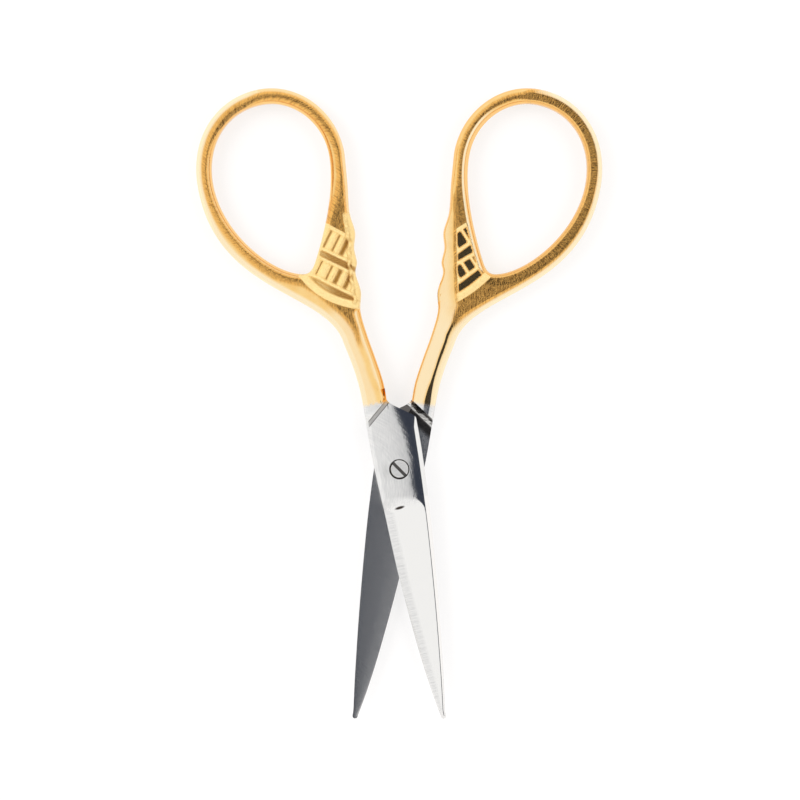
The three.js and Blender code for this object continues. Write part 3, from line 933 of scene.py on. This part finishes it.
def build_halves():
    """The front and the rear half's mesh. They differ in their holes alone."""
    plan = half_plan()
    points = plan.points
    on_handle = (points[:, 0] <= INNER_SIDE + 1e-4) & (points[:, 1] > 5)
    near = handle_fields(points[on_handle])
    top, top_tones = outer_face(points, on_handle, near)
    bottom, bottom_tones = inner_face(points, on_handle, near)
    painted_orange_shade, painted_highlight, cast, sunk, brushed = np.vstack([top_tones, bottom_tones]).T
    satin = np.concatenate([satin_reach(points), np.full(len(points), -1.0)])
    round_opening = np.zeros((len(points), 2))
    round_opening[on_handle] = np.stack([near.arc, near.opening], 1)
    arc, from_opening = np.vstack([round_opening, round_opening]).T
    skew = np.repeat([BRUSH_SKEW, 0], len(points))
    across = arc + skew * from_opening
    radius = np.hypot(*points.T)

    meshes = []
    for name, bore, seat in (("front", BORE_RADIUS, SEAT_RADIUS), ("rear", TAPPED_RADIUS, 0)):
        shrink = np.where(radius < BORE_RADIUS + TINY, bore / BORE_RADIUS, 1)[:, None]
        heights = np.where(radius < seat, PLATE_TOP - SEAT_DEPTH, top)
        mesh = plan.skin(name, points * shrink, heights, bottom)
        add_attribute(mesh, "tone", painted_orange_shade, painted_highlight, cast)
        add_attribute(mesh, "mark", sunk, satin, np.zeros(len(satin)))
        add_attribute(mesh, "brush", across, from_opening, brushed)
        meshes.append(mesh)
    return meshes


def build_screw():
    along = np.array([math.cos(SLOT_TURN), math.sin(SLOT_TURN)])
    across = np.array([-along[1], along[0]])
    head_top = PLATE_TOP + SCREW_HEAD_PROUD
    creases = []
    for side in (-1, 1):
        for width in (SLOT_WIDTH / 2 - TINY, SLOT_WIDTH / 2 + TINY):
            half = math.sqrt((SCREW_HEAD_RADIUS - 0.004) ** 2 - width**2)
            places = np.linspace(-half, half, 24)[:, None]
            creases.append(side * width * across + places * along)
    for ring in (SCREW_RADIUS - TINY, SCREW_RADIUS + TINY, SCREW_HEAD_RADIUS - SCREW_HEAD_BEVEL):
        creases.append(closed(circle(ring, 96)))
    zones = [((-1.3, -1.3), (1.3, 1.3), 0.12)]
    plan = Plan([circle(SCREW_HEAD_RADIUS, 96)], creases, [], zones)

    points = plan.points
    radius = np.hypot(*points.T)
    top = head_top - np.clip(radius - (SCREW_HEAD_RADIUS - SCREW_HEAD_BEVEL), 0, None)
    top = np.where(np.abs(points @ across) < SLOT_WIDTH / 2, head_top - SLOT_DEPTH, top)
    bottom = np.where(radius < SCREW_RADIUS, -PLATE_TOP, PLATE_TOP - SEAT_DEPTH + HEAD_SEAT_GAP)
    return plan.skin("screw", points, top, bottom)


# Materials


class Nodes:
    """Short names for making and joining the nodes of a material or a world."""

    def __init__(self, owner):
        owner.use_nodes = True
        self.owner = owner
        self.tree = owner.node_tree
        self.tree.nodes.clear()

    def add(self, kind, inputs=None, **settings):
        node = self.tree.nodes.new(kind)
        for key, value in settings.items():
            setattr(node, key, value)
        for key, value in (inputs or {}).items():
            if isinstance(value, bpy.types.NodeSocket):
                self.tree.links.new(value, node.inputs[key])
            else:
                node.inputs[key].default_value = value
        return node

    def math(self, operation, a, b=0.0, clamp=False):
        return self.add("ShaderNodeMath", {0: a, 1: b}, operation=operation, use_clamp=clamp).outputs[0]

    def times(self, a, b):
        return self.math("MULTIPLY", a, b)

    def most(self, a, b):
        return self.math("MAXIMUM", a, b)

    def vector(self, operation, a, b):
        """A number made from two vectors."""
        return self.add("ShaderNodeVectorMath", {0: a, 1: b}, operation=operation).outputs["Value"]

    def ramp(self, value, start, end):
        settings = {0: value, 1: start, 2: end}
        return self.add("ShaderNodeMapRange", settings, interpolation_type="SMOOTHSTEP").outputs[0]

    def blend(self, share, a, b):
        node = self.add("ShaderNodeMix", {0: share, 6: a, 7: b}, data_type="RGBA")
        return node.outputs[2]

    def level(self, share, a, b):
        return self.add("ShaderNodeMix", {0: share, 2: a, 3: b}, data_type="FLOAT").outputs[0]

    def kept(self, name):
        """The vector that each point of the mesh keeps under a name."""
        return self.add("ShaderNodeAttribute", attribute_name=name).outputs["Vector"]

    def three(self, name):
        """The same as three numbers."""
        return self.add("ShaderNodeSeparateXYZ", {0: self.kept(name)}).outputs

    def noise(self, vector, detail=2.0, roughness=0.5):
        """Noise in the middle of its range, from 0 to 1, with features about 1 across."""
        settings = {"Vector": vector, "Scale": 1.0, "Detail": detail, "Roughness": roughness}
        return self.ramp(self.add("ShaderNodeTexNoise", settings).outputs[0], 0.28, 0.72)

    def stretched(self, vector, turn, sizes, place=(0, 0, 0)):
        """The vector measured in features of the given sizes, the first along the turned X axis."""
        turned = (0, 0, math.radians(turn))
        settings = {"Vector": vector, "Location": place, "Scale": sizes, "Rotation": turned}
        return self.add("ShaderNodeMapping", settings, vector_type="TEXTURE").outputs[0]

    def spot(self, vector, place, turn, sizes):
        """A soft oval mark: 1 in its middle and 0 outside."""
        inside = self.stretched(vector, turn, sizes, place)
        return self.ramp(self.vector("LENGTH", inside, (0, 0, 0)), 1.0, 0.5)

    def bumps(self, *layers):
        """A normal from several layers, each a height and how high it stands in millimetres."""
        normal = None
        for height, size in layers:
            inputs = {"Height": height, "Strength": 1.0, "Distance": size * MM}
            if normal is not None:
                inputs["Normal"] = normal
            normal = self.add("ShaderNodeBump", inputs).outputs[0]
        return normal

    def metal(self, colour, rough, metallic, normal):
        shader = self.add("ShaderNodeBsdfPrincipled", {
            "Base Color": colour, "Metallic": metallic, "Roughness": rough, "Normal": normal})
        return self.finish(shader.outputs[0])

    def finish(self, shader, kind="ShaderNodeOutputMaterial"):
        self.add(kind, {"Surface": shader}, is_active_output=True)
        return self.owner


GOLD = (0.96, 0.66, 0.27, 1)
GOLD_DEEP = (0.90, 0.49, 0.13, 1)
GOLD_DARK = (0.44, 0.19, 0.04, 1)
# Pale gold for painted highlights.
GOLD_PALE_HIGHLIGHT = (0.99, 0.82, 0.54, 1)
# Orange gold for painted shade on walls that face the rest of the form.
GOLD_ORANGE_SHADE = (0.93, 0.56, 0.20, 1)
CAST_TOP = (1.0, 0.76, 0.34, 1)
# Darker cast gold for painted shade in the ornament's hollows, and for random mottling.
CAST_SHADE_AND_MOTTLE = (0.48, 0.24, 0.05, 1)
STEEL = (0.89, 0.88, 0.86, 1)
STEEL_DARK = (0.62, 0.62, 0.62, 1)
# Near-black for painted shade and painted dark reflections.
SHADE_BLACK = (0.05, 0.04, 0.035, 1)


def gold_look(nodes, form):
    """Colour, roughness, metallic share and bump layers of the plating."""
    painted_orange_shade, painted_highlight, cast = nodes.three("tone")
    sunk = nodes.three("mark")[0]
    brush = nodes.kept("brush")
    brushed = nodes.three("brush")[2]
    grain = nodes.noise(nodes.stretched(form, 0, (0.2, 0.2, 0.2)), 4.0, 0.65)
    cloud = nodes.noise(nodes.stretched(form, 0, (1.4, 1.4, 1.4)), 3.0, 0.6)
    strokes = nodes.noise(nodes.stretched(brush, 0, (0.24, 1.3, 9.0)), 4.0, 0.65)
    upright = nodes.noise(nodes.stretched(form, 80, (1.2, 0.2, 9.0)), 4.0, 0.65)
    strokes = nodes.level(nodes.ramp(nodes.three("brush")[1], 1.2, 1.8), strokes, upright)

    shade = nodes.math("ADD", nodes.times(cloud, 0.4), brushed, clamp=True)
    colour = nodes.blend(shade, GOLD, GOLD_DEEP)
    grained = nodes.times(nodes.ramp(strokes, 0.35, 1.0), nodes.times(brushed, 0.6))
    colour = nodes.blend(grained, colour, GOLD_DARK)
    # Painted highlight in pale gold.
    colour = nodes.blend(painted_highlight, colour, GOLD_PALE_HIGHLIGHT)
    # Painted shade in orange gold.
    colour = nodes.blend(nodes.times(painted_orange_shade, 0.9), colour, GOLD_ORANGE_SHADE)
    # Painted shade in the cast ornament's sunk hollows, with random mottling.
    shade_and_mottle = nodes.math("ADD", sunk, nodes.times(grain, 0.22), clamp=True)
    colour = nodes.blend(cast, colour, nodes.blend(shade_and_mottle, CAST_TOP, CAST_SHADE_AND_MOTTLE))

    rough = nodes.math("ADD", nodes.level(brushed, 0.12, 0.15), nodes.times(grain, 0.05))
    rough = nodes.level(cast, rough, 0.36)
    metallic = nodes.level(nodes.times(cast, nodes.math("SUBTRACT", 1.0, sunk)), 1.0, 0.45)
    layers = [
        (nodes.times(strokes, brushed), 0.025),
        (nodes.times(grain, cast), 0.035),
    ]
    return colour, rough, metallic, layers


def joint_shade(nodes, form, z):
    """Painted shade on the joint's steel: the step's ledge and its edges, and what lies in the cove's
    shade.
    """

    def band(value, start, full, fade, end):
        return nodes.times(nodes.ramp(value, start, full), nodes.ramp(value, end, fade))

    def away(slant):
        return nodes.vector("DOT_PRODUCT", form, (-math.sin(slant), math.cos(slant), 0))

    step = away(STEP_SLANT)
    foot = STEP_REACH - STEP_WIDTH
    ledge = nodes.times(band(step, foot - 0.03, foot + 0.03, STEP_REACH - 0.03, STEP_REACH + 0.03), 0.5)
    for line in (foot, STEP_REACH):
        thin = nodes.times(band(step, line - 0.07, line - 0.03, line + 0.03, line + 0.07), 0.9)
        ledge = nodes.most(ledge, thin)
    ledge = nodes.times(ledge, band(z, 1.3, 1.4, 3.0, 3.2))
    ledge = nodes.times(ledge, nodes.ramp(nodes.three("form")[0], -3.25, -2.95))
    # Painted shade: a black band below the cove's foot, and dark streaks over the cove.
    lap = away(LAP_SLANT)
    streaks = nodes.noise(nodes.stretched(form, 10, (1.6, 0.09, 1.0)), 3.0, 0.65)
    foot = COVE_HEAD - COVE_RUN
    black = nodes.times(band(lap, foot - 1.5, foot - 0.7, foot + 0.1, foot + 0.3), 0.9)
    dark = nodes.times(band(lap, foot - 0.1, foot, COVE_HEAD - 0.1, COVE_HEAD),
                      nodes.ramp(streaks, 0.45, 0.9))
    shade = nodes.times(nodes.most(black, dark), nodes.ramp(z, 1.0, 0.6))
    return nodes.most(ledge, shade)


def steel_look(nodes, form):
    """Colour, roughness, metallic share and bump layers of the bare joint and blade."""
    x, y, z = nodes.three("form")
    reach = nodes.three("mark")[1]
    swing = nodes.vector("DISTANCE", form, (-7.5, -1.5, 2.0))
    arcs = nodes.noise(nodes.add("ShaderNodeCombineXYZ", {
        0: nodes.times(swing, 8.0), 1: nodes.times(y, 0.35)}).outputs[0], 3.0, 0.6)
    ragged = nodes.noise(nodes.stretched(form, 82, (1.2, 0.09, 1.0)), 3.0, 0.6)
    scratches = nodes.noise(nodes.stretched(form, 5, (2.6, 0.055, 1.0)), 3.0, 0.65)
    uneven = nodes.times(nodes.math("ADD", arcs, ragged), 0.45)
    satin = nodes.ramp(nodes.math("ADD", reach, uneven), -0.35, 1.2)
    inner = nodes.ramp(z, 0.7, 0.5)
    patches = nodes.times(nodes.math("ADD", arcs, ragged), nodes.level(satin, 0.04, 0.4))

    colour = nodes.blend(patches, STEEL, STEEL_DARK)
    colour = nodes.blend(nodes.times(scratches, nodes.times(inner, 0.7)), colour, STEEL_DARK)
    # Painted shade in one near-black: a painted dark reflection in the wedge where the grinding starts,
    # painted shade in the screw's seat, and the joint's painted shade.
    wedge = nodes.spot(form, (-0.85, -5.28, 2.0), 8, (0.9, 0.27, 4.0))
    seat = nodes.spot(form, (0, 0, PLATE_TOP - SEAT_DEPTH), 0, (2.9, 2.9, 1.6))
    painted_shade = nodes.times(wedge, nodes.ramp(z, 0.5, 0.8))
    painted_shade = nodes.most(painted_shade, nodes.times(seat, nodes.ramp(z, 2.0, 1.8)))
    painted_shade = nodes.most(painted_shade, joint_shade(nodes, form, z))
    colour = nodes.blend(painted_shade, colour, SHADE_BLACK)
    matt = nodes.times(satin, satin)
    polished = nodes.level(inner, 0.12, 0.24)
    rough = nodes.level(matt, polished, nodes.level(nodes.ramp(x, -3.0, 2.0), 0.56, 0.42))
    layers = [
        (nodes.times(arcs, satin), 0.006),
        (nodes.times(scratches, inner), 0.0016),
    ]
    return colour, rough, nodes.level(matt, 1.0, 0.8), layers


def plated_material():
    nodes = Nodes(bpy.data.materials.new("gold_plated_steel"))
    form = nodes.kept("form")
    y = nodes.three("form")[1]
    speckle = nodes.noise(nodes.stretched(form, 0, (0.3, 0.3, 0.3)), 3.0)
    plating = nodes.ramp(nodes.math("ADD", y, nodes.times(speckle, 0.25)),
                         PLATING_END - 0.25, PLATING_END + 0.45)
    gold, gold_rough, gold_metallic, gold_layers = gold_look(nodes, form)
    steel, steel_rough, steel_metallic, steel_layers = steel_look(nodes, form)
    bare = nodes.math("SUBTRACT", 1.0, plating)
    layers = [(nodes.times(height, plating), size) for height, size in gold_layers]
    layers += [(nodes.times(height, bare), size) for height, size in steel_layers]
    colour = nodes.blend(plating, steel, gold)
    rough = nodes.level(plating, steel_rough, gold_rough)
    metallic = nodes.level(plating, steel_metallic, gold_metallic)
    return nodes.metal(colour, rough, metallic, nodes.bumps(*layers))


def screw_material():
    nodes = Nodes(bpy.data.materials.new("bare_steel"))
    form = nodes.kept("form")
    z = nodes.three("form")[2]
    strokes = nodes.noise(nodes.stretched(form, 20, (0.9, 0.07, 1.0)), 3.0, 0.6)
    colour = nodes.blend(nodes.times(strokes, 0.6), STEEL, STEEL_DARK)
    # Painted shade: the slot darkens below the head's top, and so does the ring at the head's lower left,
    # where it meets its seat.
    painted_recess_shade = nodes.times(nodes.ramp(z, PLATE_TOP - 0.06, PLATE_TOP - 0.3), 0.85)
    radius = nodes.vector("DISTANCE", form, (0, 0, PLATE_TOP))
    lower_left = nodes.vector("DOT_PRODUCT", form, (-0.8, -0.6, 0))
    painted_gap_shade = nodes.times(nodes.ramp(radius, 1.1, 1.18), nodes.ramp(lower_left, -0.6, 0.5))
    colour = nodes.blend(nodes.most(painted_recess_shade, painted_gap_shade), colour, SHADE_BLACK)
    rough = nodes.level(strokes, 0.4, 0.52)
    return nodes.metal(colour, rough, 0.85, nodes.bumps((strokes, 0.002)))


# The pieces in the row frame


def show(thing):
    bpy.context.scene.collection.objects.link(thing)


def placed(mesh, name, matrix, body, node, material):
    mesh.transform(matrix)
    mesh.materials.append(material)
    piece = bpy.data.objects.new(name, mesh)
    show(piece)
    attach(piece, body)
    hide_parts(node)


def make_pieces():
    lift = Matrix.Translation((0, 0, PLATE_TOP * MM)) @ Matrix.Scale(MM, 4)
    front = lift @ Matrix.Rotation(OPEN_ANGLE / 2, 4, "Z")
    rear = lift @ Matrix.Rotation(-OPEN_ANGLE / 2, 4, "Z") @ Matrix.Rotation(math.pi, 4, "Y")
    plated = plated_material()
    front_mesh, rear_mesh = build_halves()
    placed(front_mesh, "front_forging", front, "front", "front_half", plated)
    placed(rear_mesh, "rear_forging", rear, "rear", "rear_half", plated)
    placed(build_screw(), "slotted_screw", lift, "rear", "pivot_screw", screw_material())


# Table, light and camera


VIEW_CENTRE = (0.105 * MM, 9.557 * MM, 2 * MM)
VIEW_WIDTH = 110.8 * MM
LENS = 180.0
SENSOR = 36.0
WHITE = (1, 1, 1, 1)
TENT_DARK = (0.035, 0.042, 0.062, 1)
DARK_TILT = math.radians(9)  # of the tent's dark opening, from straight above
DARK_SIDE = math.radians(-20)  # its side, from +X
DARK_CORE = math.radians(14)
DARK_EDGE = math.radians(25)
TABLE_DROP = 0.02 * MM


def floor_material():
    nodes = Nodes(bpy.data.materials.new("white_table"))
    path = nodes.add("ShaderNodeLightPath")
    seen = nodes.most(path.outputs["Is Camera Ray"], path.outputs["Is Glossy Ray"])
    seen = nodes.most(seen, path.outputs["Is Transmission Ray"])
    plain = nodes.add("ShaderNodeBsdfDiffuse", {"Color": (0.8, 0.8, 0.8, 1)})
    shaded = nodes.add("ShaderNodeBsdfDiffuse", {"Color": (0.31, 0.30, 0.295, 1)})
    glow = nodes.add("ShaderNodeEmission", {"Color": WHITE, "Strength": 0.68})
    white = nodes.add("ShaderNodeAddShader", {0: shaded.outputs[0], 1: glow.outputs[0]})
    mixed = nodes.add("ShaderNodeMixShader", {0: seen, 1: plain.outputs[0], 2: white.outputs[0]})
    return nodes.finish(mixed.outputs[0])


def make_floor():
    side = 2.0
    corners = [(-side, -side, 0), (side, -side, 0), (side, side, 0), (-side, side, 0)]
    mesh = bpy.data.meshes.new("table")
    mesh.from_pydata(corners, [], [(0, 1, 2, 3)])
    floor = bpy.data.objects.new("table", mesh)
    floor.location.z = -TABLE_DROP
    mesh.materials.append(floor_material())
    show(floor)


def make_world():
    """A light tent: white all round, with a dark round opening nearly overhead."""
    world = bpy.data.worlds.new("light_tent")
    bpy.context.scene.world = world
    nodes = Nodes(world)
    level = math.sin(DARK_TILT)
    opening = (level * math.cos(DARK_SIDE), level * math.sin(DARK_SIDE), math.cos(DARK_TILT))
    towards = nodes.vector("DOT_PRODUCT", nodes.add("ShaderNodeTexCoord").outputs["Generated"], opening)
    dark = nodes.ramp(towards, math.cos(DARK_EDGE), math.cos(DARK_CORE))
    tent = nodes.add("ShaderNodeBackground", {0: nodes.blend(dark, WHITE, TENT_DARK), 1: 1.0})
    white = nodes.add("ShaderNodeBackground", {0: WHITE, 1: 1.0})
    seen = nodes.add("ShaderNodeLightPath").outputs["Is Camera Ray"]
    mixed = nodes.add("ShaderNodeMixShader", {0: seen, 1: tent.outputs[0], 2: white.outputs[0]})
    nodes.finish(mixed.outputs[0], "ShaderNodeOutputWorld")


def make_light(name, place, size, power):
    lamp = bpy.data.lights.new(name, "AREA")
    lamp.shape = "RECTANGLE"
    lamp.size = size[0]
    lamp.size_y = size[1]
    lamp.energy = power
    light = bpy.data.objects.new(name, lamp)
    light.location = place
    light.rotation_euler = Vector(place).to_track_quat("Z", "Y").to_euler()
    light.visible_glossy = False
    show(light)


def make_camera():
    data = bpy.data.cameras.new("camera")
    data.lens = LENS
    data.sensor_width = SENSOR
    camera = bpy.data.objects.new("camera", data)
    distance = VIEW_WIDTH * LENS / SENSOR
    camera.location = Vector(VIEW_CENTRE) + Vector((0, 0, distance))
    show(camera)
    bpy.context.scene.camera = camera


make_pieces()
make_floor()
make_world()
make_light("left_softbox", (-0.5, 0.15, 0.4), (0.35, 0.6), 2.4)
make_light("right_softbox", (0.5, 0.1, 0.45), (0.35, 0.6), 1.6)
make_camera()
bpy.context.scene.view_settings.view_transform = "Standard"
